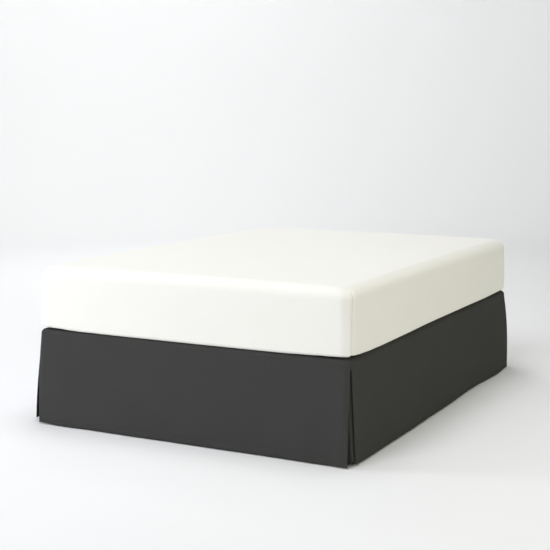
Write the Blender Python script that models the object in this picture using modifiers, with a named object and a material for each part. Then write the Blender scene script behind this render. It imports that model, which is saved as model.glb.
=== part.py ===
"""A tailored bed skirt on a full-size box spring and mattress.

Metres, +Z up, floor at z = 0. The foot of the bed faces -Y and the head +Y. The skirt covers
both sides and the foot: flat drops roll over the box spring's edge and flare a little to the
hem. They part at the foot corners, where a flap hangs behind each split.
"""

import math

import bmesh
import bpy

# The bed
BED_WIDTH = 1.372
BED_LENGTH = 1.905
DECK_TOP = 0.384  # upper face of the platform cloth
BED_SHIFT = 0.0085  # the foot hem stands further out than the head's, so the bed sits back by this
FIT_GAP = 0.0003  # between pieces that touch

# Skirt cloth
CLOTH = 0.002
SHOULDER = 0.020  # outer radius where a drop rolls over the edge of the bed
CORNER = 0.028  # outer radius of the bed's corners, seen from above
LAP = 0.006  # flat strip of a drop on top of the bed, sewn to the platform cloth
SEAM_GAP = 0.0005
HEM_HEIGHT = 0.005
SPLIT_ANGLE = math.radians(63)  # where the drops part, round the foot corner from the foot
RETURN = 0.060  # length of the side drops on the head face, past the corner
EASE = 0.04  # share of the hang over which the flare sets in

# Flaps behind the splits
FLAP_WING = 0.110
FLAP_TOP = 0.356
FLAP_HEM = 0.018
FLAP_INSET = CLOTH + SEAM_GAP
FLAP_FLARE = 0.0145  # how much wider to the side a flap is cut at its hem
FLAP_BELLY = 0.8

# Mattress in its fitted sheet
MATTRESS_HEIGHT = 0.253
MATTRESS_CROWN = 0.010
TOP_ROUND = 0.084  # cage spacing, about 1.75 times the radius that it gives
SIDE_ROUND = 0.079
UNDER_ROUND = 0.042

# Box spring and legs
BOX_INSET = 0.0065  # from the skirt's outer face: the cloth, the flap and a clear 2 mm
BOX_EDGE = 0.020
BOX_BOTTOM = 0.155
LEG_SIDE = 0.050
LEG_EDGE = 0.004
LEG_ACROSS = 0.600
LEG_ALONG = (-0.840, 0.0, 0.840)

# Detail
CORNER_SEGMENTS = 9
SHOULDER_SEGMENTS = 6
HANG_SEGMENTS = 9
BLOCK_SEGMENTS = 5
LEG_SEGMENTS = 2
STRAIGHT_STEP = 0.090
SHARP_ANGLE = math.radians(45)  # edges sharper than this stay crisp in shading
ON_PLANE = 0.0001  # a point this near a plane lies on it

HALF_WIDTH = BED_WIDTH / 2
HALF_LENGTH = BED_LENGTH / 2
HANG_TOP = DECK_TOP - SHOULDER

# Runs along the outline from the middle of the foot, where each stretch of it ends
FOOT_END = HALF_WIDTH - CORNER
FOOT_CORNER_END = FOOT_END + CORNER * math.pi / 2
SIDE_END = FOOT_CORNER_END + BED_LENGTH - 2 * CORNER
HEAD_CORNER_END = SIDE_END + CORNER * math.pi / 2
SPLIT = FOOT_END + CORNER * SPLIT_ANGLE

# How each drop hangs along its run: how far the hem stands out, how much higher it hangs than
# HEM_HEIGHT, how far it leans along the run, and how early in the fall the flare is reached, where
# 1 is evenly and more is sooner. Runs on the left of the bed are negative.
# The columns are (run, flare, lift, lean, belly).
FOOT_HANG = (
    (-SPLIT, 0.030, 0.002, 0.018, 1.5),
    (-0.560, 0.033, 0.000, 0.006, 1.4),
    (-0.400, 0.029, 0.000, 0.000, 1.3),
    (0.400, 0.025, 0.000, 0.000, 1.3),
    (0.600, 0.027, 0.000, 0.000, 1.4),
    (SPLIT, 0.031, 0.000, 0.003, 1.5),
)
RIGHT_HANG = (
    (SPLIT, 0.018, 0.003, 0.000, 0.8),
    (SPLIT + 0.060, 0.018, 0.000, 0.000, 0.9),
    (SPLIT + 0.400, 0.021, 0.000, 0.000, 1.2),
    (SPLIT + 0.870, 0.021, 0.000, 0.000, 1.3),
    (SPLIT + 1.360, 0.015, 0.000, 0.000, 1.3),
    (SPLIT + 1.690, 0.030, 0.000, 0.000, 1.3),
    (SPLIT + 1.740, 0.028, 0.000, 0.000, 1.4),
    (SPLIT + 1.800, 0.019, 0.000, 0.000, 1.6),
    (HEAD_CORNER_END, 0.016, 0.000, 0.000, 2.5),
    (HEAD_CORNER_END + RETURN, 0.009, 0.000, 0.000, 2.0),
)
LEFT_HANG = (
    (-HEAD_CORNER_END - RETURN, 0.009, 0.000, 0.000, 2.0),
    (-HEAD_CORNER_END, 0.012, 0.000, 0.000, 2.0),
    (-SPLIT - 1.740, 0.021, 0.000, 0.000, 1.4),
    (-SPLIT - 1.300, 0.017, 0.000, 0.000, 1.3),
    (-SPLIT - 0.800, 0.023, 0.000, 0.000, 1.3),
    (-SPLIT - 0.350, 0.024, 0.000, 0.000, 1.3),
    (-SPLIT, 0.032, 0.002, 0.000, 1.6),
)


# Scene, materials and objects

def clear_scene():
    for item in list(bpy.data.objects):
        bpy.data.objects.remove(item, do_unlink=True)


def new_collection(name):
    collection = bpy.data.collections.new(name)
    bpy.context.scene.collection.children.link(collection)
    return collection


def linear(channel):
    """One sRGB channel from 0 to 1, turned linear."""
    if channel <= 0.04045:
        return channel / 12.92
    return ((channel + 0.055) / 1.055) ** 2.4


def new_material(name, srgb, roughness):
    """A Principled BSDF of one colour, given as sRGB hex, with no metal in it."""
    material = bpy.data.materials.new(name)
    material.use_nodes = True
    shader = material.node_tree.nodes["Principled BSDF"]
    channels = [int(srgb[place:place + 2], 16) / 255 for place in (0, 2, 4)]
    shader.inputs["Base Color"].default_value = (*map(linear, channels), 1.0)
    shader.inputs["Roughness"].default_value = roughness
    shader.inputs["Metallic"].default_value = 0.0
    return material


def add_object(name, shape, material, bed):
    """An object named for its piece, carried by the bed's centre. The bmesh is used up."""
    mesh = bpy.data.meshes.new(name)
    shape.to_mesh(mesh)
    shape.free()
    mesh.materials.append(material)
    piece = bpy.data.objects.new(name, mesh)
    piece.parent = bed
    bed.users_collection[0].objects.link(piece)
    return piece


def shade_round(piece):
    piece.data.shade_smooth()
    piece.data.set_sharp_from_angle(angle=SHARP_ANGLE)


# The outline that the skirt hangs from

def mirrored(point, outward, side):
    return (point[0] * side, point[1]), (outward[0] * side, outward[1])


def outline(run):
    """The point on the bed's rounded outline at this run from mid-foot, and the way out there."""
    side = math.copysign(1.0, run)
    run = abs(run)
    if run <= FOOT_END:
        return mirrored((run, -HALF_LENGTH), (0.0, -1.0), side)
    if run < FOOT_CORNER_END:
        turn = (run - FOOT_END) / CORNER
        outward = (math.sin(turn), -math.cos(turn))
        centre = (HALF_WIDTH - CORNER, -HALF_LENGTH + CORNER)
        point = (centre[0] + CORNER * outward[0], centre[1] + CORNER * outward[1])
        return mirrored(point, outward, side)
    if run <= SIDE_END:
        along = -HALF_LENGTH + CORNER + run - FOOT_CORNER_END
        return mirrored((HALF_WIDTH, along), (1.0, 0.0), side)
    if run < HEAD_CORNER_END:
        turn = (run - SIDE_END) / CORNER
        outward = (math.cos(turn), math.sin(turn))
        centre = (HALF_WIDTH - CORNER, HALF_LENGTH - CORNER)
        point = (centre[0] + CORNER * outward[0], centre[1] + CORNER * outward[1])
        return mirrored(point, outward, side)
    across = HALF_WIDTH - CORNER - (run - HEAD_CORNER_END)
    return mirrored((across, HALF_LENGTH), (0.0, 1.0), side)


def foot_face(run):
    """Where the foot drop hangs once clear of the corners: the flat foot face, carried on past them."""
    return (run, -HALF_LENGTH), (0.0, -1.0)


def side_face(run):
    """Where a side drop hangs once clear of the foot corner: the flat side face, carried on past it."""
    if abs(run) >= FOOT_CORNER_END:
        return outline(run)
    along = -HALF_LENGTH + CORNER + abs(run) - FOOT_CORNER_END
    return mirrored((HALF_WIDTH, along), (1.0, 0.0), math.copysign(1.0, run))


def stations(start, end):
    """Runs from start to end: close together round the corners, further apart between them."""
    right = (FOOT_END, FOOT_CORNER_END, SIDE_END, HEAD_CORNER_END)
    borders = sorted([-run for run in right] + list(right))
    stops = [start] + [run for run in borders if start < run < end] + [end]
    found = [start]
    for low, high in zip(stops, stops[1:]):
        middle = abs(low + high) / 2
        round_foot = FOOT_END < middle < FOOT_CORNER_END
        round_head = SIDE_END < middle < HEAD_CORNER_END
        step = CORNER * math.pi / 2 / CORNER_SEGMENTS if round_foot or round_head else STRAIGHT_STEP
        count = max(1, math.ceil((high - low) / step - 0.01))
        found += [low + (high - low) * n / count for n in range(1, count + 1)]
    return found


# Hanging cloth

def smooth_between(rows, run, column):
    """The value of a table's column at this run, eased from one row to the next."""
    if run <= rows[0][0]:
        return rows[0][column]
    for low, high in zip(rows, rows[1:]):
        if run <= high[0]:
            share = (run - low[0]) / (high[0] - low[0])
            share = share * share * (3 - 2 * share)
            return low[column] + (high[column] - low[column]) * share
    return rows[-1][column]


def flare_share(fallen, belly):
    """How much of the hem's flare is reached at this share of the hang. It starts from nothing."""
    return (1 - (1 - fallen) ** belly) * fallen * (1 + EASE) / (fallen + EASE)


def drop_sections():
    """Places down a drop, from the hem up, as (how far out of the outline, height, share of the hang)."""
    places = [(0.0, None, n / HANG_SEGMENTS) for n in range(HANG_SEGMENTS, 0, -1)]
    for n in range(SHOULDER_SEGMENTS + 1):
        turn = math.pi / 2 * n / SHOULDER_SEGMENTS
        out = SHOULDER * (math.cos(turn) - 1)
        places.append((out, HANG_TOP + SHOULDER * math.sin(turn), 0.0))
    places.append((-SHOULDER - LAP, DECK_TOP, 0.0))
    return places


def drop_point(run, section, hang, face):
    """A point of a drop's outer side. Round a corner it follows the outline at the shoulder and
    straightens towards the flat face as it falls."""
    out, height, fallen = section
    flare, lift, lean, belly = (smooth_between(hang, run, column) for column in (1, 2, 3, 4))
    if height is None:
        height = HANG_TOP + (HEM_HEIGHT + lift - HANG_TOP) * fallen
    share = flare_share(fallen, belly)
    spread = flare * share
    top, outward = outline(run)
    low, face_outward = face(run + lean * share)
    x, y = (
        top[axis] + outward[axis] * out + (low[axis] - top[axis]) * fallen + face_outward[axis] * spread
        for axis in (0, 1)
    )
    return x, y, height


def cloth_grid(columns, rows, place):
    """An open sheet: a flat grid whose points are moved to place(column, row), rows from the hem up."""
    sheet = bmesh.new()
    across, up = len(columns) - 1, len(rows) - 1
    bmesh.ops.create_grid(sheet, x_segments=across, y_segments=up, size=1.0)
    for vertex in sheet.verts:
        column = columns[round((vertex.co.x + 1) / 2 * across)]
        row = rows[round((vertex.co.y + 1) / 2 * up)]
        vertex.co = place(column, row)
    return sheet


def add_cloth(name, sheet, material, bed):
    """A cloth piece: its outer face, thickened inwards."""
    piece = add_object(name, sheet, material, bed)
    wall = piece.modifiers.new("cloth thickness", "SOLIDIFY")
    wall.thickness = CLOTH
    wall.offset = -1.0
    wall.use_even_offset = True
    shade_round(piece)
    return piece


def add_drop(name, start, end, hang, face, material, bed):
    columns = stations(start, end)
    sheet = cloth_grid(columns, drop_sections(), lambda run, section: drop_point(run, section, hang, face))
    return add_cloth(name, sheet, material, bed)


def flap_point(run, height):
    """A flap hangs just inside the shoulder, round the corner. It falls into two flat wings with
    a fold between them, and is cut wider to the side towards its hem."""
    fallen = (HANG_TOP - height) / (HANG_TOP - FLAP_HEM)
    middle = FOOT_END + CORNER * math.pi / 4
    face = foot_face if abs(run) <= middle else side_face
    top, outward = outline(run)
    low, face_outward = face(run)
    x, y = (
        (top[axis] - outward[axis] * FLAP_INSET) * (1 - fallen)
        + (low[axis] - face_outward[axis] * FLAP_INSET) * fallen
        for axis in (0, 1)
    )
    along_wing = min(1.0, max(0.0, (abs(run) - FOOT_END + FLAP_WING) / FLAP_WING))
    wider = FLAP_FLARE * flare_share(fallen, FLAP_BELLY) * along_wing
    return x + math.copysign(wider, run), y, height


def add_flap(name, side, material, bed):
    ends = (FOOT_END - FLAP_WING) * side, (FOOT_CORNER_END + FLAP_WING) * side
    columns = stations(min(ends), max(ends))
    rows = [FLAP_HEM + (FLAP_TOP - FLAP_HEM) * n / HANG_SEGMENTS for n in range(HANG_SEGMENTS + 1)]
    return add_cloth(name, cloth_grid(columns, rows, flap_point), material, bed)


# Solid pieces

def rounded_block(size, corner, edge, segments):
    """A cube brought to size, with its upright edges rounded first and then, unless edge is 0, its
    top and bottom rims."""
    block = bmesh.new()
    bmesh.ops.create_cube(block, size=1.0)
    bmesh.ops.scale(block, vec=size, verts=block.verts)
    upright = [line for line in block.edges if line.verts[0].co.xy == line.verts[1].co.xy]
    bevel = {"offset_type": "OFFSET", "profile": 0.5, "affect": "EDGES", "segments": segments}
    bmesh.ops.bevel(block, geom=upright, offset=corner, **bevel)
    if edge:
        rims = [line for line in block.edges if line.verts[0].co.z == line.verts[1].co.z]
        bmesh.ops.bevel(block, geom=rims, offset=edge, **bevel)
    return block


def add_deck(material, bed):
    """The platform cloth, flat on the box spring, up to the seam with the drops."""
    inset = SHOULDER + LAP + SEAM_GAP
    size = (BED_WIDTH - 2 * inset, BED_LENGTH - 2 * inset, CLOTH)
    deck = add_object("skirt_deck", rounded_block(size, CORNER - inset, 0, BLOCK_SEGMENTS), material, bed)
    deck.location.z = DECK_TOP - CLOTH / 2
    return deck


def add_box_spring(material, bed):
    height = DECK_TOP - CLOTH - FIT_GAP - BOX_BOTTOM
    size = (BED_WIDTH - 2 * BOX_INSET, BED_LENGTH - 2 * BOX_INSET, height)
    block = rounded_block(size, CORNER - BOX_INSET, BOX_EDGE, BLOCK_SEGMENTS)
    box = add_object("box_spring", block, material, bed)
    box.location.z = BOX_BOTTOM + height / 2
    shade_round(box)
    return box


def add_legs(material, bed):
    height = BOX_BOTTOM - FIT_GAP
    for side, across in (("left", -LEG_ACROSS), ("right", LEG_ACROSS)):
        for place, along in zip(("foot", "middle", "head"), LEG_ALONG):
            post = rounded_block((LEG_SIDE, LEG_SIDE, height), LEG_EDGE, 0, LEG_SEGMENTS)
            leg = add_object(f"leg_{place}_{side}", post, material, bed)
            leg.location = (across, along, height / 2)


def cut_across(shape, axis, places):
    """Adds a loop of edges round the shape at each place along an axis."""
    for place in places:
        point = [0.0, 0.0, 0.0]
        point[axis] = place
        normal = [0.0, 0.0, 0.0]
        normal[axis] = 1.0
        geometry = shape.verts[:] + shape.edges[:] + shape.faces[:]
        bmesh.ops.bisect_plane(shape, geom=geometry, plane_co=point, plane_no=normal)


def mattress_cage():
    """A box with loops near its edges, which set how round they become, and with a low crown."""
    cage = bmesh.new()
    bmesh.ops.create_cube(cage, size=1.0)
    bmesh.ops.scale(cage, vec=(BED_WIDTH, BED_LENGTH, MATTRESS_HEIGHT), verts=cage.verts)
    bmesh.ops.translate(cage, vec=(0.0, 0.0, MATTRESS_HEIGHT / 2), verts=cage.verts)
    near_side = HALF_WIDTH - SIDE_ROUND
    near_end = HALF_LENGTH - SIDE_ROUND
    cut_across(cage, 0, (-near_side, -HALF_WIDTH / 3, HALF_WIDTH / 3, near_side))
    cut_across(cage, 1, (-near_end, -HALF_LENGTH / 2, 0.0, HALF_LENGTH / 2, near_end))
    cut_across(cage, 2, (UNDER_ROUND, MATTRESS_HEIGHT - TOP_ROUND))
    for vertex in cage.verts:
        x, y, z = vertex.co
        if z > MATTRESS_HEIGHT - ON_PLANE:
            fall = (x / HALF_WIDTH) ** 2 + (y / HALF_LENGTH) ** 2
            vertex.co.z += MATTRESS_CROWN * (1 - fall / 2)
        if z < ON_PLANE:
            # The under face's loops lie closer to its rim, for a tighter edge where it rests.
            if abs(abs(x) - near_side) < ON_PLANE:
                vertex.co.x = math.copysign(HALF_WIDTH - UNDER_ROUND, x)
            if abs(abs(y) - near_end) < ON_PLANE:
                vertex.co.y = math.copysign(HALF_LENGTH - UNDER_ROUND, y)
    return cage


def add_mattress(material, bed):
    mattress = add_object("mattress", mattress_cage(), material, bed)
    mattress.location.z = DECK_TOP + FIT_GAP
    soft = mattress.modifiers.new("soft form", "SUBSURF")
    soft.levels = 2
    soft.render_levels = 2
    mattress.data.shade_smooth()
    return mattress


def build():
    clear_scene()
    collection = new_collection("bed_skirt")
    bed = bpy.data.objects.new("bed_centre", None)
    bed.location = (0.0, BED_SHIFT, 0.0)
    collection.objects.link(bed)

    charcoal_cotton = new_material("charcoal_cotton", "454545", 0.90)
    fitted_sheet = new_material("cream_fitted_sheet", "f2f0e8", 0.85)
    box_ticking = new_material("box_spring_ticking", "d9d6cc", 0.90)
    stained_beech = new_material("stained_beech", "4d3b2c", 0.55)

    foot_end = SPLIT - SEAM_GAP / 2
    side_start = SPLIT + SEAM_GAP / 2
    side_end = HEAD_CORNER_END + RETURN
    add_drop("drop_foot", -foot_end, foot_end, FOOT_HANG, foot_face, charcoal_cotton, bed)
    add_drop("drop_right", side_start, side_end, RIGHT_HANG, side_face, charcoal_cotton, bed)
    add_drop("drop_left", -side_end, -side_start, LEFT_HANG, side_face, charcoal_cotton, bed)
    add_flap("corner_flap_right", 1, charcoal_cotton, bed)
    add_flap("corner_flap_left", -1, charcoal_cotton, bed)
    add_deck(charcoal_cotton, bed)
    add_mattress(fitted_sheet, bed)
    add_box_spring(box_ticking, bed)
    add_legs(stained_beech, bed)


build()
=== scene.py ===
"""A tailored charcoal bed skirt on a full-size box spring and mattress.

Metres, +Z up, floor at z = 0. The foot of the bed faces -Y and the head +Y. The file goes from
the floor up: legs, box spring, platform cloth, corner flaps, drops, mattress, then the studio.
"""

import math

import bmesh
import bpy
import numpy as np
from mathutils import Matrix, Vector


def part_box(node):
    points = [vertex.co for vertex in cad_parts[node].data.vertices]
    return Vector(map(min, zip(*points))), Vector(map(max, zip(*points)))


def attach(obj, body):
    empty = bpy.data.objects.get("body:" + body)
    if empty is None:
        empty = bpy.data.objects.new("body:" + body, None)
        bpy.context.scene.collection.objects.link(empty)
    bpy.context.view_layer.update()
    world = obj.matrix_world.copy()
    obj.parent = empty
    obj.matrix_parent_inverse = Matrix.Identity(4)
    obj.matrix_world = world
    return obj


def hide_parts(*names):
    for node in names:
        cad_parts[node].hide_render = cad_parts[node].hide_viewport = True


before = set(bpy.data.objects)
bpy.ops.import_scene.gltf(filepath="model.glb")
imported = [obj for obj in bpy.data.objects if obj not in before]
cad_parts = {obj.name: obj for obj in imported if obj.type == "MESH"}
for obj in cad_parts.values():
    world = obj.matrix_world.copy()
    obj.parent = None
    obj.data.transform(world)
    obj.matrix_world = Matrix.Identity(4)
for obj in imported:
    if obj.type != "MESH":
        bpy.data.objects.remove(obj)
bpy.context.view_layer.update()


# Legs. Six plain square posts of beech under the box spring, sawn and planed, stained dark brown
# and sealed with a satin varnish. They are bolted up into the box spring's frame.
LEG_NODES = [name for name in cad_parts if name.startswith("leg_")]
BEECH_DARK = "3a2a1f"
BEECH_LIGHT = "5c4636"
RAY_FLECK = "6b523f"
GRAIN_WIDTH = 0.004  # across the growth rings
GRAIN_STRETCH = 40  # how much longer than wide the grain is
FLECK_LENGTH = 0.006
FLECK_WIDTH = 0.15 * FLECK_LENGTH
VARNISH_ROUGHNESS = 0.42


def linear_colour(code):
    """An sRGB hex colour as linear RGBA: each channel is c / 12.92 near black and
    ((c + 0.055) / 1.055) to the power 2.4 above."""
    channels = np.array([int(code[place:place + 2], 16) for place in (0, 2, 4)]) / 255
    curved = np.where(channels <= 0.04045, channels / 12.92, ((channels + 0.055) / 1.055) ** 2.4)
    return (*curved, 1.0)


def add_node(tree, kind, settings, inputs):
    """A node with its settings and inputs. An input that is another node's output is linked."""
    made = tree.nodes.new(kind)
    for name, value in settings.items():
        setattr(made, name, value)
    for name, value in inputs.items():
        if isinstance(value, bpy.types.NodeSocket):
            tree.links.new(value, made.inputs[name])
        else:
            made.inputs[name].default_value = value
    return made


def new_material(name, constants):
    """A material with a Principled shader, its constant inputs set on the shader's own sockets."""
    material = bpy.data.materials.new(name)
    material.use_nodes = True
    shader = material.node_tree.nodes["Principled BSDF"]
    for socket, value in constants.items():
        shader.inputs[socket].default_value = value
    return material, material.node_tree, shader


def stained_beech():
    """Beech under dark stain: fine upright grain in soft light and dark bands, with the short
    paler flecks that beech has, under an even satin varnish."""
    material, tree, shader = new_material("stained_beech", {"Roughness": VARNISH_ROUGHNESS})
    place = add_node(tree, "ShaderNodeTexCoord", {}, {}).outputs["Object"]
    grain_scale = (1 / GRAIN_WIDTH, 1 / GRAIN_WIDTH, 1 / (GRAIN_STRETCH * GRAIN_WIDTH))
    grain_place = add_node(tree, "ShaderNodeMapping", {}, {"Vector": place, "Scale": grain_scale})
    grain = add_node(tree, "ShaderNodeTexNoise", {}, {
        "Vector": grain_place.outputs["Vector"], "Scale": 1.0, "Detail": 4.0, "Roughness": 0.6})
    bands = add_node(tree, "ShaderNodeMix", {"data_type": "RGBA"}, {
        "Factor": grain.outputs["Fac"], "A": linear_colour(BEECH_DARK), "B": linear_colour(BEECH_LIGHT)})
    fleck_scale = (1 / FLECK_WIDTH, 1 / FLECK_WIDTH, 1 / FLECK_LENGTH)
    fleck_place = add_node(tree, "ShaderNodeMapping", {}, {"Vector": place, "Scale": fleck_scale})
    flecks = add_node(tree, "ShaderNodeTexVoronoi", {}, {
        "Vector": fleck_place.outputs["Vector"], "Scale": 1.0})
    fleck_share = add_node(tree, "ShaderNodeMapRange", {}, {
        "Value": flecks.outputs["Distance"], "From Min": 0.08, "From Max": 0.22,
        "To Min": 0.5, "To Max": 0.0})
    colour = add_node(tree, "ShaderNodeMix", {"data_type": "RGBA"}, {
        "Factor": fleck_share.outputs["Result"], "A": bands.outputs["Result"],
        "B": linear_colour(RAY_FLECK)})
    tree.links.new(colour.outputs["Result"], shader.inputs["Base Color"])
    relief = add_node(tree, "ShaderNodeBump", {}, {
        "Height": grain.outputs["Fac"], "Strength": 0.25, "Distance": 0.0003})
    tree.links.new(relief.outputs["Normal"], shader.inputs["Normal"])
    return material


beech = stained_beech()
for name in LEG_NODES:
    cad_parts[name].data.materials.clear()
    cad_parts[name].data.materials.append(beech)


# Box spring. A sprung wooden frame under off-white ticking, with a puffed border cloth and a
# piped seam round its upper and lower rims. Only its head end shows, as the skirt is open there.
BED_WIDTH = 1.372
BED_LENGTH = 1.905
HALF_WIDTH = BED_WIDTH / 2
HALF_LENGTH = BED_LENGTH / 2
FOOT_SHIFT = (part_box("skirt_deck")[0].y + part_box("skirt_deck")[1].y) / 2
BOX_LOW, BOX_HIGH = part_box("box_spring")
BOX_CORNER = 0.0450
RIM_ROUND = 0.018
PIPE_RADIUS = 0.0032
PIPE_HEIGHT = 0.034  # from the underside to the lower piping, and from the top to the upper one
BORDER_PUFF = 0.0030
TICKING_CREAM = "dcd9cf"
# partly painted shade between the ribs, where they are low, and partly random tone where the cloud is low
TICKING_TONE_AND_RIB_SHADE = "cfcbc0"
TICKING_RIB = 0.0022  # real ribs are about 0.8 mm apart, drawn coarser so that they show


def rounded_outline(run, half_width, half_length, corner):
    """Points and outward directions along a rounded rectangle, by the run from the middle of its
    foot side, negative to the left. Each is the inner rectangle's path plus the corner's radius
    times a direction that turns a quarter circle at each corner."""
    side = np.where(run < 0, -1.0, 1.0)
    run = np.abs(run)
    foot, quarter = half_width - corner, corner * math.pi / 2
    long = 2 * (half_length - corner)
    turn = (np.clip(run - foot, 0, quarter) + np.clip(run - foot - quarter - long, 0, quarter)) / corner
    across = np.minimum(run, foot) - np.maximum(run - foot - 2 * quarter - long, 0)
    along = np.clip(run - foot - quarter, 0, long) - long / 2
    outward = np.stack([side * np.sin(turn), -np.cos(turn)], axis=-1)
    point = np.stack([side * across, along], axis=-1) + corner * outward
    return point, outward


def spaced(stops, steps):
    """Values from the first stop to the last, evenly spaced between stops at about each step."""
    parts = [np.linspace(low, high, max(1, round((high - low) / step)), endpoint=False)
             for low, high, step in zip(stops, stops[1:], steps)]
    return np.append(np.concatenate(parts), stops[-1])


def ring_runs(stops, steps):
    """Runs once round, from mid-head to mid-head. The stops and steps are those of the right
    side, from mid-foot, and the left side is the same."""
    right = spaced(stops, steps)
    return np.concatenate([-right[::-1], right[1:-1]])


def grid_faces(rows, columns, closed):
    """Four-sided faces of a grid of points, row by row. A closed grid's last column meets its first."""
    wide = columns if closed else columns - 1
    row, column = np.meshgrid(np.arange(rows - 1), np.arange(wide), indexing="ij")
    near, next_column = row * columns + column, row * columns + (column + 1) % columns
    return np.stack([near, next_column, next_column + columns, near + columns], axis=-1).reshape(-1, 4)


def add_surface(name, points, faces, cloth_place, material):
    """An object from a block of points and four-sided faces. cloth_place is each point's place on
    the cloth in metres, kept as the UV map, so that a weave follows the surface."""
    mesh = bpy.data.meshes.new(name)
    mesh.from_pydata(points.reshape(-1, 3), [], faces.tolist())
    corners = np.empty(len(mesh.loops), dtype=np.int32)
    mesh.loops.foreach_get("vertex_index", corners)
    threads = mesh.uv_layers.new(name="cloth")
    threads.data.foreach_set("uv", cloth_place.reshape(-1, 2)[corners].astype(np.float32).ravel())
    mesh.materials.append(material)
    mesh.shade_smooth()
    piece = bpy.data.objects.new(name, mesh)
    bpy.context.scene.collection.objects.link(piece)
    return piece


def close_doubles(piece):
    """Merges the points where a closed shape's rows come together, so that it has no open seam."""
    shape = bmesh.new()
    shape.from_mesh(piece.data)
    bmesh.ops.remove_doubles(shape, verts=shape.verts, dist=1e-5)
    bmesh.ops.recalc_face_normals(shape, faces=shape.faces)
    shape.to_mesh(piece.data)
    shape.free()


def drawn_in(point, half_width, half_length, share):
    """The outline's points moved this share of the way to the middle line of the rectangle,
    which runs along Y as far as the rectangle is longer than it is wide."""
    middle = half_length - half_width
    spine = np.stack([np.zeros_like(point[..., 1]), np.clip(point[..., 1], -middle, middle)], axis=-1)
    return spine + (point - spine) * (1 - share)[..., None]


def box_spring_points():
    """The border's profile carried round the outline. The profile goes from the middle of the
    underside, round the lower rim, up the border, which is puffed by a sine between the two
    pipings, and round the upper rim to the middle of the top. The pipings are two half circles."""
    half_width = (BOX_HIGH.x - BOX_LOW.x) / 2
    half_length = (BOX_HIGH.y - BOX_LOW.y) / 2
    foot, quarter = half_width - BOX_CORNER, BOX_CORNER * math.pi / 2
    stops = np.cumsum([0, foot, quarter, 2 * (half_length - BOX_CORNER), quarter, foot])
    run = ring_runs(stops, [0.018, 0.003, 0.018, 0.003, 0.018])
    outline, outward = rounded_outline(run, half_width, half_length, BOX_CORNER)
    height = BOX_HIGH.z - BOX_LOW.z
    turn = np.linspace(0, math.pi / 2, 7)
    across_pipe = PIPE_RADIUS * np.linspace(-1.2, 1.2, 9)
    border = np.unique(np.concatenate([
        np.linspace(RIM_ROUND, height - RIM_ROUND, 22), PIPE_HEIGHT + across_pipe,
        height - PIPE_HEIGHT + across_pipe]))
    flat_inset = np.linspace(half_width, RIM_ROUND, 14, endpoint=False)
    inset = np.concatenate([
        flat_inset, RIM_ROUND * (1 - np.sin(turn)), np.zeros(len(border) - 2),
        RIM_ROUND * (1 - np.cos(turn)), flat_inset[::-1]])
    rise = np.concatenate([
        np.zeros(14), RIM_ROUND * (1 - np.cos(turn)), border[1:-1],
        height - RIM_ROUND * (1 - np.sin(turn)), np.full(14, height)])
    from_pipe = np.minimum(np.abs(rise - PIPE_HEIGHT), np.abs(rise - height + PIPE_HEIGHT))
    pipe = np.sqrt(np.clip(PIPE_RADIUS ** 2 - from_pipe ** 2, 0, None))
    up_border = np.clip((rise - PIPE_HEIGHT) / (height - 2 * PIPE_HEIGHT), 0, 1)
    proud = np.maximum(pipe, BORDER_PUFF * np.sin(math.pi * up_border)) - BORDER_PUFF
    plan = drawn_in(outline[None], half_width, half_length, (inset / half_width)[:, None])
    plan = plan + outward[None] * (proud * (inset < RIM_ROUND))[:, None, None]
    points = np.empty((len(inset), len(run), 3))
    points[..., 0] = plan[..., 0] + (BOX_LOW.x + BOX_HIGH.x) / 2
    points[..., 1] = plan[..., 1] + (BOX_LOW.y + BOX_HIGH.y) / 2
    points[..., 2] = BOX_LOW.z + rise[:, None]
    travel = np.concatenate([[0], np.cumsum(np.hypot(np.diff(inset), np.diff(rise)))])
    cloth_place = np.stack(np.broadcast_arrays(run[None, :], travel[:, None]), axis=-1)
    return points, cloth_place


def woven_ticking():
    """Cotton ticking, a dense herringbone-like twill: off-white, matt, with fine upright ribs. Painted shade
    darkens the colour between the ribs, where their relief is low, and a faint cloud varies the tone at
    random."""
    material, tree, shader = new_material("woven_ticking", {
        "Roughness": 0.88, "Specular IOR Level": 0.25, "Sheen Weight": 0.12, "Sheen Roughness": 0.5})
    threads = add_node(tree, "ShaderNodeUVMap", {"uv_map": "cloth"}, {}).outputs["UV"]
    # At scale 1 the wave texture has 20 / tau bands a metre.
    ribs = add_node(tree, "ShaderNodeTexWave", {"bands_direction": "X"}, {
        "Vector": threads, "Scale": math.tau / (20 * TICKING_RIB), "Distortion": 0.4,
        "Detail": 1.0, "Detail Scale": 60.0})
    cloud = add_node(tree, "ShaderNodeTexNoise", {}, {"Vector": threads, "Scale": 18.0, "Detail": 3.0})
    # Painted shade between the ribs: the darker colour comes in where the ribs are low, and also where the
    # cloud is low.
    shade = add_node(tree, "ShaderNodeMath", {"operation": "MULTIPLY"}, {
        0: ribs.outputs["Fac"], 1: cloud.outputs["Fac"]})
    colour = add_node(tree, "ShaderNodeMix", {"data_type": "RGBA"}, {
        "Factor": shade.outputs["Value"], "A": linear_colour(TICKING_TONE_AND_RIB_SHADE),
        "B": linear_colour(TICKING_CREAM)})
    tree.links.new(colour.outputs["Result"], shader.inputs["Base Color"])
    relief = add_node(tree, "ShaderNodeBump", {}, {
        "Height": ribs.outputs["Fac"], "Strength": 0.3, "Distance": 0.0004})
    tree.links.new(relief.outputs["Normal"], shader.inputs["Normal"])
    return material


box_points, box_cloth = box_spring_points()
ticking = woven_ticking()
box_spring = add_surface(
    "box_spring_ticking", box_points, grid_faces(*box_points.shape[:2], True), box_cloth, ticking)
close_doubles(box_spring)
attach(box_spring, "root")
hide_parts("box_spring")


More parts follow.
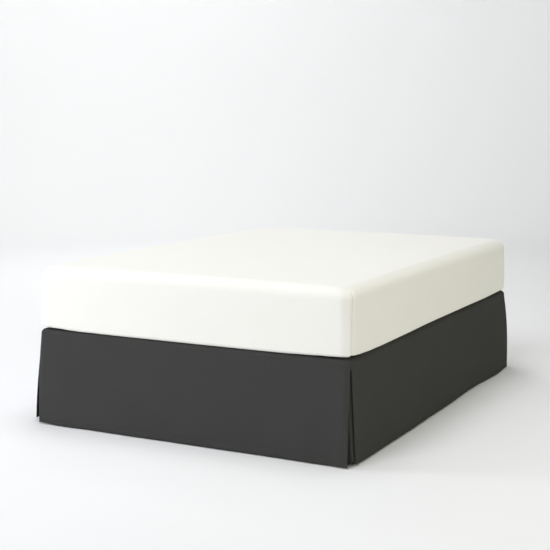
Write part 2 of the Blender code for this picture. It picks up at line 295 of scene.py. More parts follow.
# Platform cloth. The flat middle of the skirt, one sheet of the same charcoal cotton that lies on
# the box spring under the mattress. The three drops are sewn to its edge.
DECK_LOW, DECK_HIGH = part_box("skirt_deck")
DECK_TOP = DECK_HIGH.z
CLOTH = 0.0016
HEM_CLOTH = 0.0026  # the cloth turned twice
EDGE_GAP = 0.0006  # from the seam line to each cloth's edge, which is rounded over it
SEAM_PULL = 0.0003  # how far the seam pulls the platform's edge down
SEAM_PULL_WIDTH = 0.01
CHARCOAL_DARK = "3f3f3e"
CHARCOAL_LIGHT = "444443"
THREAD_GAP = 0.0007  # real threads are about 0.4 mm apart, drawn a little coarser so that they show
SLUB_WIDTH = 0.0016
SLUB_LENGTH = 0.045


def plain_weave(tree, threads, thread_gap):
    """The height of over-and-under threads: the product of two sines, one along the cloth and one
    across it, each with a whole wave for every two threads."""
    place = add_node(tree, "ShaderNodeSeparateXYZ", {}, {"Vector": threads})
    waves = []
    for axis in ("X", "Y"):
        turns = add_node(tree, "ShaderNodeMath", {"operation": "MULTIPLY"}, {
            0: place.outputs[axis], 1: math.pi / thread_gap})
        waves.append(add_node(tree, "ShaderNodeMath", {"operation": "SINE"}, {0: turns.outputs["Value"]}))
    weave = add_node(tree, "ShaderNodeMath", {"operation": "MULTIPLY"}, {
        0: waves[0].outputs["Value"], 1: waves[1].outputs["Value"]})
    return weave.outputs["Value"]


def charcoal_plain_weave():
    """Matt cotton in a plain weave, dyed charcoal: over-and-under threads, with the long thin
    slubs of a slightly uneven yarn both ways and a faint cloudiness in the dye."""
    material, tree, shader = new_material("charcoal_plain_weave", {
        "Roughness": 0.95, "Specular IOR Level": 0.05})
    threads = add_node(tree, "ShaderNodeUVMap", {"uv_map": "cloth"}, {}).outputs["UV"]
    weave = plain_weave(tree, threads, THREAD_GAP)
    slubs = []
    for scale in ((1 / SLUB_LENGTH, 1 / SLUB_WIDTH, 1), (1 / SLUB_WIDTH, 1 / SLUB_LENGTH, 1)):
        stretched = add_node(tree, "ShaderNodeMapping", {}, {"Vector": threads, "Scale": scale})
        slubs.append(add_node(tree, "ShaderNodeTexNoise", {}, {
            "Vector": stretched.outputs["Vector"], "Scale": 1.0, "Detail": 2.0}))
    slub = add_node(tree, "ShaderNodeMath", {"operation": "ADD"}, {
        0: slubs[0].outputs["Fac"], 1: slubs[1].outputs["Fac"]})
    cloud = add_node(tree, "ShaderNodeTexNoise", {}, {"Vector": threads, "Scale": 5.0, "Detail": 3.0})
    uneven = add_node(tree, "ShaderNodeMath", {"operation": "MULTIPLY_ADD"}, {
        0: cloud.outputs["Fac"], 1: 1.2, 2: slub.outputs["Value"]})
    shade = add_node(tree, "ShaderNodeMapRange", {}, {
        "Value": uneven.outputs["Value"], "From Min": 0.8, "From Max": 2.4})
    colour = add_node(tree, "ShaderNodeMix", {"data_type": "RGBA"}, {
        "Factor": shade.outputs["Result"], "A": linear_colour(CHARCOAL_DARK),
        "B": linear_colour(CHARCOAL_LIGHT)})
    tree.links.new(colour.outputs["Result"], shader.inputs["Base Color"])
    height = add_node(tree, "ShaderNodeMath", {"operation": "MULTIPLY_ADD"}, {
        0: slub.outputs["Value"], 1: 0.5, 2: weave})
    relief = add_node(tree, "ShaderNodeBump", {}, {
        "Height": height.outputs["Value"], "Strength": 0.3, "Distance": 0.0002})
    tree.links.new(relief.outputs["Normal"], shader.inputs["Normal"])
    return material


def add_cloth(name, face, thickness, cloth_place, material):
    """A closed sheet of cloth. Its back is the face moved in by the thickness along the face's
    normals, the cross product of the grid's downward and sideways directions. Round the border a
    loop of points midway, pushed out by a quarter of the thickness, rounds the edge."""
    rows, columns = face.shape[:2]
    down, across = np.gradient(face, axis=0), np.gradient(face, axis=1)
    normal = np.cross(down, across)
    normal /= np.linalg.norm(normal, axis=-1, keepdims=True)
    back = face - normal * thickness[..., None]
    numbers = np.arange(rows * columns).reshape(rows, columns)
    loop = np.concatenate([numbers[0], numbers[1:, -1], numbers[-1, -2::-1], numbers[-2:0:-1, 0]])
    out = np.zeros_like(face)
    every = slice(None)
    borders = (((0,), -down), ((-1,), down), ((every, 0), -across), ((every, -1), across))
    for edge, direction in borders:
        out[edge] += direction[edge] / np.linalg.norm(direction[edge], axis=-1, keepdims=True)
    out = out.reshape(-1, 3)[loop]
    out /= np.linalg.norm(out, axis=-1, keepdims=True)
    middle = (face + back).reshape(-1, 3)[loop] / 2 + out * thickness.reshape(-1)[loop, None] / 4
    points = np.concatenate([face.reshape(-1, 3), back.reshape(-1, 3), middle])
    front = grid_faces(rows, columns, False)[:, ::-1]
    count = rows * columns
    rim = 2 * count + np.arange(len(loop))
    after, rim_after = np.roll(loop, -1), np.roll(rim, -1)
    front_rim = np.stack([loop, after, rim_after, rim], axis=-1)
    back_rim = np.stack([rim, rim_after, after + count, loop + count], axis=-1)
    faces = np.concatenate([front, front[:, ::-1] + count, front_rim, back_rim])
    flat = cloth_place.reshape(-1, 2)
    return add_surface(name, points, faces, np.concatenate([flat, flat, flat[loop]]), material)


def deck_points():
    """A flat grid at the box spring's top, whose points sink a little where the seam pulls them,
    by a bell curve of the distance to the edge."""
    across = np.linspace(DECK_LOW.x + EDGE_GAP, DECK_HIGH.x - EDGE_GAP, 80)
    along = np.linspace(DECK_LOW.y + EDGE_GAP, DECK_HIGH.y - EDGE_GAP, 110)
    x, y = np.meshgrid(across, along, indexing="xy")
    from_side = np.minimum(x - DECK_LOW.x, DECK_HIGH.x - x)
    from_end = np.minimum(y - DECK_LOW.y, DECK_HIGH.y - y)
    z = DECK_TOP - SEAM_PULL * np.exp(-(np.minimum(from_side, from_end) / SEAM_PULL_WIDTH) ** 2)
    return np.stack([x, y, z], axis=-1)[::-1]


charcoal = charcoal_plain_weave()
deck_face = deck_points()
deck = add_cloth(
    "platform_cloth", deck_face, np.full(deck_face.shape[:2], CLOTH), deck_face[..., :2], charcoal)
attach(deck, "root")
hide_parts("skirt_deck")


# Corner flaps. A folded piece of the same cotton hangs behind each split at the foot, so that the
# box spring never shows. It is sewn in under the shoulder, has a soft fold down its middle and a
# turned hem as deep as the drops', and ends a little higher than they do.
SHOULDER = 0.020  # outer radius where a drop rolls over the edge of the bed
CORNER = 0.028  # outer radius of the skirt's corners, seen from above
SEAM_GAP = 0.0011  # between the drops' folded edges, which are rounded over it
HANG_TOP = DECK_TOP - SHOULDER
FOOT_END = HALF_WIDTH - CORNER
CORNER_RUN = CORNER * math.pi / 2
FOOT_CORNER_END = FOOT_END + CORNER_RUN
FLAP_LOW, FLAP_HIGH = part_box("corner_flap_right")
FLAP_TOP = FLAP_HIGH.z
FLAP_HEM = FLAP_LOW.z
FLAP_WING = 0.110
FLAP_INSET = 0.0025  # from the drops' outer face: their cloth and the seam's gap
FLAP_FLARE = 0.0125  # how far the hem stands out to the side
FLAP_BELLY = 0.8  # how soon in the fall the flare is reached
FLAP_ROUND = 0.050  # radius of the bend down the middle at the top
FLAP_FOLD = 0.008  # and at the hem, where it is a fold
EASE = 0.04  # about the share of the hang in which a flare sets in
HEM = 0.025  # depth of the hems near the floor
SIDE_HEM = 0.012  # and of those down the sides of the drops
HEM_PROUD = 0.0003  # how far a turned hem stands out
HEM_STEP = 0.002  # the width over which the cloth steps up to it
STITCH = 0.0034  # length of a stitch
STITCH_GAP = 0.0012  # from one stitch to the next
STITCH_INSET = 0.004  # from a flap's sides to its line of stitches
STITCH_SHOULDER = 0.22  # the share of a stitch that slopes down to each of its ends
STITCH_LIFT = 0.6  # of the thread's radius, how far a stitch is raised
THREAD = 0.00030  # radius of the thread
GROOVE_DEPTH = 0.00030  # of the groove that a line of stitches pulls into the cloth
GROOVE_WIDTH = 0.0011
FINE_BAND = 0.003  # the grid is finer this far above and below a hem's stitches


def flare_share(fallen, belly):
    """How much of the hem's flare is reached at a share of the hang: 1 - (1 - fallen) to the
    power belly, eased in from nothing at the shoulder."""
    return (1 - (1 - fallen) ** belly) * fallen * (1 + EASE) / (fallen + EASE)


def hem_relief(from_edge, depth):
    """What a turned hem of this depth adds outwards: it stands a little proud, and its line of
    stitches lies in a groove, a bell curve."""
    turned = np.clip((depth - from_edge) / HEM_STEP, 0, 1)
    return HEM_PROUD * turned - GROOVE_DEPTH * np.exp(-((from_edge - depth) / GROOVE_WIDTH) ** 2)


def hem_thickness(from_edge, depth):
    """The cloth's thickness, more where it is turned."""
    turned = np.clip((depth + HEM_STEP / 2 - from_edge) / HEM_STEP, 0, 1)
    return CLOTH + (HEM_CLOTH - CLOTH) * turned


def bent_outline(run, radius):
    """The skirt's outline with another radius at its foot corners. The run is still that of the
    skirt's own outline, made up for the longer or shorter way round along the corner."""
    wide = max(radius, CORNER)
    start, end = HALF_WIDTH - wide, FOOT_CORNER_END + wide - CORNER
    share = np.clip((np.abs(run) - start) / (end - start), 0, 1)
    longer = (2 - math.pi / 2) * (CORNER - radius) * share
    return rounded_outline(run + np.sign(run) * longer, HALF_WIDTH, HALF_LENGTH, radius)


def flap_surface(run, down):
    """A flap hangs from an outline that is well rounded at its top to a squarer one at its hem,
    each just inside the drops, and is wider to the side towards the hem. Its two parameters are
    the run and how far down the cloth is from the flap's top."""
    height = FLAP_TOP - down
    fallen = (HANG_TOP - height) / (HANG_TOP - FLAP_HEM)
    top, top_out = bent_outline(run, FLAP_ROUND)
    low, low_out = bent_outline(run, FLAP_FOLD)
    share = fallen[..., None]
    plan = (top - top_out * FLAP_INSET) * (1 - share) + (low - low_out * FLAP_INSET) * share
    along_wing = np.clip((np.abs(run) - FOOT_END + FLAP_WING) / FLAP_WING, 0, 1)
    wider = np.sign(run) * FLAP_FLARE * flare_share(fallen, FLAP_BELLY) * along_wing
    x = plan[..., 0] + wider
    return np.stack(np.broadcast_arrays(x, plan[..., 1] + FOOT_SHIFT, height), axis=-1)


def moved_out(points, distance):
    """A grid of points moved along its own normals."""
    down, across = np.gradient(points, axis=0), np.gradient(points, axis=1)
    normal = np.cross(down, across)
    normal /= np.maximum(np.linalg.norm(normal, axis=-1, keepdims=True), 1e-12)
    return points + normal * distance[..., None]


def thread_points(ends, normals):
    """Stitches from the pairs of points where the thread goes down into the cloth. Each is a
    spindle of eight points in two squares round the thread, with its two tips under the cloth."""
    start, end = ends[:, 0], ends[:, 1]
    along = end - start
    beside = np.cross(along, normals)
    beside /= np.linalg.norm(beside, axis=-1, keepdims=True)
    turn = np.arange(4)[None, :, None] * math.pi / 2
    ring = THREAD * (np.cos(turn) * normals[:, None] + np.sin(turn) * beside[:, None])
    lifted = normals * THREAD * STITCH_LIFT
    first = (start + along * STITCH_SHOULDER + lifted)[:, None] + ring
    second = (start + along * (1 - STITCH_SHOULDER) + lifted)[:, None] + ring
    tips = np.stack([start - normals * THREAD, end - normals * THREAD], axis=1)
    return np.concatenate([first, second, tips], axis=1)


def add_stitches(name, ends, normals):
    """All the stitches of one piece of cloth, joined into one piece. Of each stitch's ten points,
    0 to 3 and 4 to 7 are its two squares, and 8 and 9 its tips."""
    points = thread_points(ends, normals)
    near, after = np.arange(4), (np.arange(4) + 1) % 4
    sides = np.stack([near, near + 4, after + 4, after], axis=-1)
    start_cap = np.stack([near, after, np.full(4, 8)], axis=-1)
    end_cap = np.stack([after + 4, near + 4, np.full(4, 9)], axis=-1)
    first = (np.arange(len(points)) * 10)[:, None, None]
    faces = [*(sides + first).reshape(-1, 4).tolist(), *(start_cap + first).reshape(-1, 3).tolist(),
             *(end_cap + first).reshape(-1, 3).tolist()]
    mesh = bpy.data.meshes.new(name)
    mesh.from_pydata(points.reshape(-1, 3), [], faces)
    mesh.materials.append(thread)
    mesh.shade_smooth()
    piece = bpy.data.objects.new(name, mesh)
    bpy.context.scene.collection.objects.link(piece)
    return piece


def sewn_line(surface, start, end):
    """Stitches along a straight line on the cloth, between two places given as the surface's two
    parameters. Their ends lie at the bottom of the groove that the sewing pulls into the cloth.
    The normals come from the surface itself, close beside the line."""
    start, end = np.array(start), np.array(end)
    length = np.linalg.norm(end - start)
    direction = (end - start) / length
    count = int(length / (STITCH + STITCH_GAP))
    places = start + direction * (np.arange(count)[:, None] + 0.5) * length / count
    near, far = places - direction * STITCH / 2, places + direction * STITCH / 2
    ends = np.stack([surface(near[:, 0], near[:, 1]), surface(far[:, 0], far[:, 1])], axis=1)
    step = 0.0005
    here = surface(places[:, 0], places[:, 1])
    over_first = surface(places[:, 0] + step, places[:, 1]) - here
    over_second = surface(places[:, 0], places[:, 1] + step) - here
    normals = np.cross(over_second, over_first)
    normals /= np.linalg.norm(normals, axis=-1, keepdims=True)
    return ends - normals[:, None] * (HEM_PROUD + GROOVE_DEPTH), normals


def cotton_thread():
    """Spun cotton sewing thread, dyed to match and a touch lighter than the cloth, with a twist
    too fine to draw and a slight sheen."""
    material, _, _ = new_material("charcoal_cotton_thread", {
        "Base Color": linear_colour("464645"), "Roughness": 0.7, "Sheen Weight": 0.1})
    return material


thread = cotton_thread()
for side_name, side in (("left", -1), ("right", 1)):
    stops = sorted([side * (FOOT_END - FLAP_WING), side * FOOT_END, side * FOOT_CORNER_END,
                    side * (FOOT_CORNER_END + FLAP_WING)])
    flap_runs = spaced(stops, [0.005, 0.0015, 0.005])
    flap_fall = FLAP_TOP - FLAP_HEM
    stitched = flap_fall - HEM
    flap_downs = spaced(
        [0, stitched - FINE_BAND, stitched + FINE_BAND, flap_fall], [0.010, 0.0008, 0.006])
    run_grid, down_grid = flap_runs[None, :], flap_downs[:, None]
    flap_face = flap_surface(run_grid, down_grid)
    from_hem = np.broadcast_to(flap_fall - down_grid, flap_face.shape[:2])
    flap_face = moved_out(flap_face, hem_relief(from_hem, HEM) - HEM_PROUD)
    flap_cloth = np.stack(np.broadcast_arrays(run_grid, down_grid), axis=-1)
    flap = add_cloth(
        f"corner_flap_{side_name}_cloth", flap_face, hem_thickness(from_hem, HEM), flap_cloth, charcoal)
    ends, normals = sewn_line(
        flap_surface, (stops[0] + STITCH_INSET, stitched), (stops[-1] - STITCH_INSET, stitched))
    flap_stitches = add_stitches(f"corner_flap_{side_name}_stitches", ends, normals)
    for piece in (flap, flap_stitches):
        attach(piece, "root")
    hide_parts(f"corner_flap_{side_name}")


# Drops. Three flat panels of the same cotton, sewn to the platform cloth, with a deep turned hem
# at the floor and narrow ones at the splits. Each rolls over the box spring's edge and flares as
# it falls, and the side drops turn the head corner and end in a short return.
LAP = 0.006
ROLL = SHOULDER * math.pi / 2
HEM_HEIGHT = 0.005
HANG = HANG_TOP - HEM_HEIGHT
FALL = LAP + ROLL + HANG
SIDE_END = FOOT_CORNER_END + BED_LENGTH - 2 * CORNER
HEAD_CORNER_END = SIDE_END + CORNER_RUN
RETURN = 0.060
SPLIT = FOOT_END + CORNER * math.radians(63)
SPLIT_ROLL = 0.005  # how far a side drop's edge curls in at the split
ROLL_WIDTH = 0.006
ROLL_START = 0.03  # the share of the hang in which that curl sets in
TACKED = 0.040  # the share of the hang down to which the drops are tacked together at a split
OPENING = 0.010  # and the share in which the split then opens
PARTED_REACH = 0.03  # how far from a split the cloth still follows its opening
FOLD_GROWTH = 1.5  # the power by which a fold grows down the cloth
SIDE_HEM_START = 0.05  # the length below the shoulder in which a side hem sets in
SEWN_BELOW = 0.012  # from the shoulder to the first stitch of a side hem
FOOT_PARTED = (0.003, 4)  # how far an edge is pulled from the split under the tack, and the power
SIDE_PARTED = (0.004, 0)  # of the share of the hang left by which that fades towards the hem

# How each drop hangs along its run: how far the hem stands out, how much higher than HEM_HEIGHT
# it hangs, how far it leans along the run, and how soon in the fall the flare is reached.
# The columns are (run, flare, lift, lean, belly).
FOOT_HANG = (
    (-SPLIT, 0.030, 0.002, 0.018, 1.5),
    (-0.560, 0.033, 0.000, 0.006, 1.4),
    (-0.400, 0.029, 0.000, 0.000, 1.3),
    (0.400, 0.025, 0.000, 0.000, 1.3),
    (0.600, 0.027, 0.000, 0.000, 1.4),
    (SPLIT, 0.031, 0.000, 0.003, 1.5),
)
RIGHT_HANG = (
    (SPLIT, 0.018, 0.003, 0.000, 1.1),
    (SPLIT + 0.060, 0.018, 0.000, 0.000, 1.1),
    (SPLIT + 0.400, 0.021, 0.000, 0.000, 1.2),
    (SPLIT + 0.870, 0.021, 0.000, 0.000, 1.3),
    (SPLIT + 1.360, 0.015, 0.000, 0.000, 1.3),
    (SPLIT + 1.690, 0.030, 0.000, 0.000, 1.3),
    (SPLIT + 1.740, 0.028, 0.000, 0.000, 1.4),
    (SPLIT + 1.800, 0.024, 0.000, 0.000, 2.4),
    (HEAD_CORNER_END, 0.0215, 0.000, 0.000, 3.2),
    (HEAD_CORNER_END + RETURN, 0.009, 0.000, 0.000, 2.0),
)
LEFT_HANG = (
    (-HEAD_CORNER_END - RETURN, 0.009, 0.000, 0.000, 2.0),
    (-HEAD_CORNER_END, 0.012, 0.000, 0.000, 2.0),
    (-SPLIT - 1.740, 0.021, 0.000, 0.000, 1.4),
    (-SPLIT - 1.300, 0.017, 0.000, 0.000, 1.3),
    (-SPLIT - 0.800, 0.023, 0.000, 0.000, 1.3),
    (-SPLIT - 0.350, 0.024, 0.000, 0.000, 1.3),
    (-SPLIT, 0.0415, 0.002, 0.000, 1.5),
)

# Soft upright folds in the drops, ridges where the height is above zero and troughs below.
# The columns are (run, width, height, share of the hang where it starts).
FOOT_FOLDS = (
    (-0.585, 0.035, 0.0010, 0.15),
    (-0.430, 0.060, -0.0009, 0.30),
    (-0.215, 0.050, 0.0008, 0.45),
    (-0.060, 0.080, -0.0010, 0.25),
    (0.170, 0.045, 0.0009, 0.50),
    (0.330, 0.070, -0.0009, 0.20),
    (0.520, 0.040, 0.0010, 0.35),
    (0.628, 0.018, -0.0008, 0.10),
)
RIGHT_FOLDS = (
    (SPLIT + 0.045, 0.016, -0.0008, 0.10),
    (SPLIT + 0.160, 0.045, 0.0010, 0.30),
    (SPLIT + 0.330, 0.060, -0.0009, 0.40),
    (SPLIT + 0.560, 0.050, 0.0010, 0.35),
    (SPLIT + 0.790, 0.080, -0.0010, 0.20),
    (SPLIT + 1.050, 0.055, 0.0010, 0.45),
    (SPLIT + 1.270, 0.070, -0.0009, 0.25),
    (SPLIT + 1.500, 0.045, 0.0010, 0.40),
)
LEFT_FOLDS = (
    (-SPLIT - 1.560, 0.050, 0.0010, 0.35),
    (-SPLIT - 1.330, 0.070, -0.0010, 0.25),
    (-SPLIT - 1.060, 0.050, 0.0010, 0.45),
    (-SPLIT - 0.820, 0.065, -0.0009, 0.30),
    (-SPLIT - 0.540, 0.055, 0.0009, 0.40),
    (-SPLIT - 0.300, 0.070, -0.0009, 0.20),
    (-SPLIT - 0.110, 0.040, 0.0010, 0.30),
)


def smooth_between(rows, run, column):
    """The value of a table's column at each run, eased from one row to the next by 3s² - 2s³."""
    table = np.array(rows)
    place = np.clip(np.searchsorted(table[:, 0], run) - 1, 0, len(table) - 2)
    low, high = table[place], table[place + 1]
    share = np.clip((run - low[..., 0]) / (high[..., 0] - low[..., 0]), 0, 1)
    share = share * share * (3 - 2 * share)
    return low[..., column] + (high[..., column] - low[..., column]) * share


def skirt_outline(run):
    return rounded_outline(run, HALF_WIDTH, HALF_LENGTH, CORNER)


def foot_face(run):
    """The flat foot face, carried on past the corners."""
    return np.stack([run, np.full_like(run, -HALF_LENGTH)], axis=-1), np.array([0.0, -1.0])


def side_face(run):
    """The flat side face, carried on past the foot corner. It does turn the head corner."""
    point, outward = skirt_outline(np.sign(run) * np.maximum(np.abs(run), FOOT_CORNER_END))
    point[..., 1] += np.minimum(np.abs(run) - FOOT_CORNER_END, 0)
    return point, outward


def soft_folds(run, fallen, folds):
    """Each fold is a bell curve across the run that grows down the cloth from where it starts."""
    height = np.zeros(np.broadcast(run, fallen).shape)
    for place, width, rise, start in folds:
        grown = np.clip((fallen - start) / (1 - start), 0, 1) ** FOLD_GROWTH
        height += rise * np.exp(-((run - place) / width) ** 2) * grown
    return height


def parted_run(run, wide):
    """The run of cloth that is pulled away from a split: by the whole width at the edge, and less
    with the distance from it, by an exponential."""
    from_split = np.abs(run) - SPLIT
    return run + np.sign(run * from_split) * wide * np.exp(-np.abs(from_split) / PARTED_REACH)


def drop_surface(run, fall, hang, folds, face, rolled, parted):
    """A drop's outer side, by the run and by how far down the cloth from the platform seam. It
    lies flat on the lap, turns a quarter circle over the shoulder, and then falls straight from
    the rounded outline to the flat face, with its flare, its lean and its folds. At a split its
    edge is mitred on the lap, pulled open below the tack, and, if the drop is rolled, curled in
    by the square of how near the edge it is."""
    turn = np.clip((fall - LAP) / SHOULDER, 0, math.pi / 2)
    out = np.minimum(fall, LAP) - LAP - SHOULDER + SHOULDER * np.sin(turn)
    fallen = np.clip((fall - LAP - ROLL) / HANG, 0, 1)
    flare, lift, lean, belly = (smooth_between(hang, run, column) for column in (1, 2, 3, 4))
    share = flare_share(fallen, belly)
    z = HANG_TOP + SHOULDER * np.cos(turn) + (HEM_HEIGHT + lift - HANG_TOP) * fallen
    wide, power = parted
    opened = np.clip((fallen - TACKED) / OPENING, 0, 1)
    mitre = SEAM_GAP / 2 * (CORNER / (CORNER + out) - 1)
    pulled = parted_run(run, mitre + wide * opened * opened * (3 - 2 * opened) * (1 - fallen) ** power)
    top, outward = skirt_outline(pulled)
    low, face_outward = face(pulled + lean * share)
    near_split = np.clip(1 - np.abs(np.abs(run) - SPLIT) / ROLL_WIDTH, 0, 1)
    curl = rolled * near_split ** 2 * np.clip(fallen / ROLL_START, 0, 1)
    spread = flare * share + soft_folds(run, fallen, folds) - curl
    plan = top + outward * out[..., None] + (low - top) * fallen[..., None]
    plan = plan + face_outward * spread[..., None]
    return np.stack(np.broadcast_arrays(plan[..., 0], plan[..., 1] + FOOT_SHIFT, z), axis=-1)


def add_drop(name, stops, steps, hang, folds, face, rolled, parted):
    """A drop with its stitches. The stops are the runs where its grid changes its step."""
    run = spaced(stops, steps)[None, :]
    hem_line = FALL - HEM
    tack = LAP + ROLL + TACKED * HANG
    fall_stops = [EDGE_GAP, LAP, LAP + ROLL, tack - 0.002, tack + 0.006,
                  hem_line - FINE_BAND, hem_line + FINE_BAND, FALL]
    fall = spaced(fall_stops, [0.003, 0.0026, 0.005, 0.001, 0.009, 0.0008, 0.0055])[:, None]

    def surface(along, down):
        return drop_surface(along, down, hang, folds, face, rolled, parted)

    points = surface(run, fall)
    from_hem = np.broadcast_to(FALL - fall, points.shape[:2])
    from_side = np.broadcast_to(np.minimum(run - stops[0], stops[-1] - run), points.shape[:2])
    side_hem_share = np.clip((fall - LAP - ROLL) / SIDE_HEM_START, 0, 1)
    relief = hem_relief(from_hem, HEM) + hem_relief(from_side, SIDE_HEM) * side_hem_share
    from_edge = np.minimum(from_hem, from_side + HEM - SIDE_HEM)
    thickness = np.where(fall < tack, CLOTH, hem_thickness(from_edge, HEM))
    cloth_place = np.stack(np.broadcast_arrays(run, fall), axis=-1)
    face_points = moved_out(points, relief - HEM_PROUD)
    drop = add_cloth(f"{name}_cloth", face_points, thickness, cloth_place, charcoal)
    low, high = stops[0] + SIDE_HEM, stops[-1] - SIDE_HEM
    sewn_top = LAP + ROLL + SEWN_BELOW
    lines = [((low, hem_line), (high, hem_line)), ((low, sewn_top), (low, hem_line)),
             ((high, sewn_top), (high, hem_line))]
    sewn = [sewn_line(surface, *line) for line in lines]
    stitches = add_stitches(
        f"{name}_stitches", np.concatenate([ends for ends, _ in sewn]),
        np.concatenate([normals for _, normals in sewn]))
    for piece in (drop, stitches):
        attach(piece, "root")
    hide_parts(name)


foot_edge = SPLIT - SEAM_GAP / 2
side_edge = SPLIT + SEAM_GAP / 2
side_stops = [side_edge, side_edge + 0.014, SIDE_END, HEAD_CORNER_END, HEAD_CORNER_END + RETURN]
side_steps = [0.001, 0.0055, 0.0025, 0.004]
add_drop("drop_foot", [-foot_edge, -foot_edge + 0.03, foot_edge - 0.03, foot_edge], [0.002, 0.0045, 0.002],
         FOOT_HANG, FOOT_FOLDS, foot_face, 0.0, FOOT_PARTED)
add_drop("drop_right", side_stops, side_steps, RIGHT_HANG, RIGHT_FOLDS, side_face, SPLIT_ROLL, SIDE_PARTED)
add_drop("drop_left", [-run for run in side_stops[::-1]], side_steps[::-1], LEFT_HANG, LEFT_FOLDS, side_face,
         SPLIT_ROLL, SIDE_PARTED)


# Mattress in its fitted sheet. A ten-inch mattress with a soft crown, in a cream percale sheet
# pulled tight over it. Each corner of the sheet is boxed: a short upright seam that starts in a
# small pucker. The sheet tucks in underneath, and its pull lifts the mattress's corners a little.
MATTRESS_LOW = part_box("mattress")[0]
MATTRESS_HEIGHT = 0.253
MATTRESS_CROWN = 0.010
TOP_ROUND = 0.046
UNDER_ROUND = 0.012
UNDER_REACH = 0.120  # how far in from the side the underside is lifted
PLAN_ROUND = 0.045  # of each corner along the foot or the head
PLAN_DEPTH = 0.012  # and along the side, if it were not mixed with a round corner
UNDER_ROUNDER = 0.5  # the round corner's share at the underside; at the top it is whole
TOP_SHIFT = 0.021  # how much nearer to the foot or the head a seam lies in the round corner
TOP_SHIFT_WIDTH = 0.03  # how far from the seam the sheet follows that
SIDE_ROWS = 32
SEAM_PLACE = 0.003  # from the end of the corner
SEAM_DEPTH = 0.0004
SEAM_WIDTH = 0.0013
SEAM_FADE = (-0.02, 0.12)  # heights between which the seam sets in, so it is faint at its lower end
SEAM_END = 0.008  # the height in which it ends at the pucker
PULL_DEPTH = 0.0034  # the cloth is drawn in on both sides of a corner seam
PULL_WIDTH = 0.0120
PUCKER_DEPTH = 0.0035
PUCKER_WIDTH = 0.0060
PUCKER_PLACE = 0.40  # how far under the top it is, in shares of TOP_ROUND
SHEET_CREAM = "f5f4ef"
SHEET_CREAM_DARK = "f2f1eb"
# painted shade: the darker colour along each corner seam, standing in for the shade in its narrow fold
PAINTED_SEAM_SHADE = "cfcabb"
SHEET_THREAD_GAP = 0.0006  # real threads are about 0.25 mm apart, drawn coarser so that they show

# How high the under edge is lifted along the run from mid-foot, the same on the left side as on
# the right. The columns are (run, lift).
UNDER_LIFT = (
    (-0.720, 0.0070),
    (-0.650, 0.0075),
    (-0.597, 0.0060),
    (-0.540, 0.0029),
    (-0.480, 0.0014),
    (-0.300, 0.0005),
    (0.100, 0.0002),
    (0.300, 0.0007),
    (0.430, 0.0013),
    (0.510, 0.0034),
    (0.585, 0.0058),
    (0.660, 0.0075),
    (0.720, 0.0085),
    (0.790, 0.0038),
    (0.880, 0.0012),
    (0.990, 0.0004),
    (1.200, 0.0016),
    (1.500, 0.0044),
    (1.900, 0.0038),
    (2.200, 0.0025),
    (2.560, 0.0060),
)


def percale_sheet():
    """Cream cotton percale, a close even plain weave: smooth and matt, a touch deeper in colour where the
    yarn is thicker, with a very faint bloom. Along its seams a thin line of painted shade, a darker colour,
    stands in for the shade in the narrow fold where the two folded edges meet."""
    material, tree, shader = new_material("cream_percale", {
        "Roughness": 0.78, "Specular IOR Level": 0.25, "Sheen Weight": 0.2, "Sheen Roughness": 0.4})
    threads = add_node(tree, "ShaderNodeUVMap", {"uv_map": "cloth"}, {}).outputs["UV"]
    weave = plain_weave(tree, threads, SHEET_THREAD_GAP)
    cloud = add_node(tree, "ShaderNodeTexNoise", {}, {"Vector": threads, "Scale": 7.0, "Detail": 4.0})
    colour = add_node(tree, "ShaderNodeMix", {"data_type": "RGBA"}, {
        "Factor": cloud.outputs["Fac"], "A": linear_colour(SHEET_CREAM_DARK),
        "B": linear_colour(SHEET_CREAM)})
    # Painted shade: the seam attribute mixes in a darker colour along each corner seam.
    seam = add_node(tree, "ShaderNodeAttribute", {"attribute_name": "seam"}, {})
    sewn = add_node(tree, "ShaderNodeMix", {"data_type": "RGBA"}, {
        "Factor": seam.outputs["Fac"], "A": colour.outputs["Result"], "B": linear_colour(PAINTED_SEAM_SHADE)})
    tree.links.new(sewn.outputs["Result"], shader.inputs["Base Color"])
    relief = add_node(tree, "ShaderNodeBump", {}, {
        "Height": weave, "Strength": 0.2, "Distance": 0.0001})
    tree.links.new(relief.outputs["Normal"], shader.inputs["Normal"])
    return material


def mattress_top(x, y):
    """The height of the top over the underside, a low crown that falls with the square of the
    distance from the middle, in shares of the half sizes."""
    fall = (x / HALF_WIDTH) ** 2 + (y / HALF_LENGTH) ** 2
    return MATTRESS_HEIGHT + MATTRESS_CROWN * (1 - fall / 2)


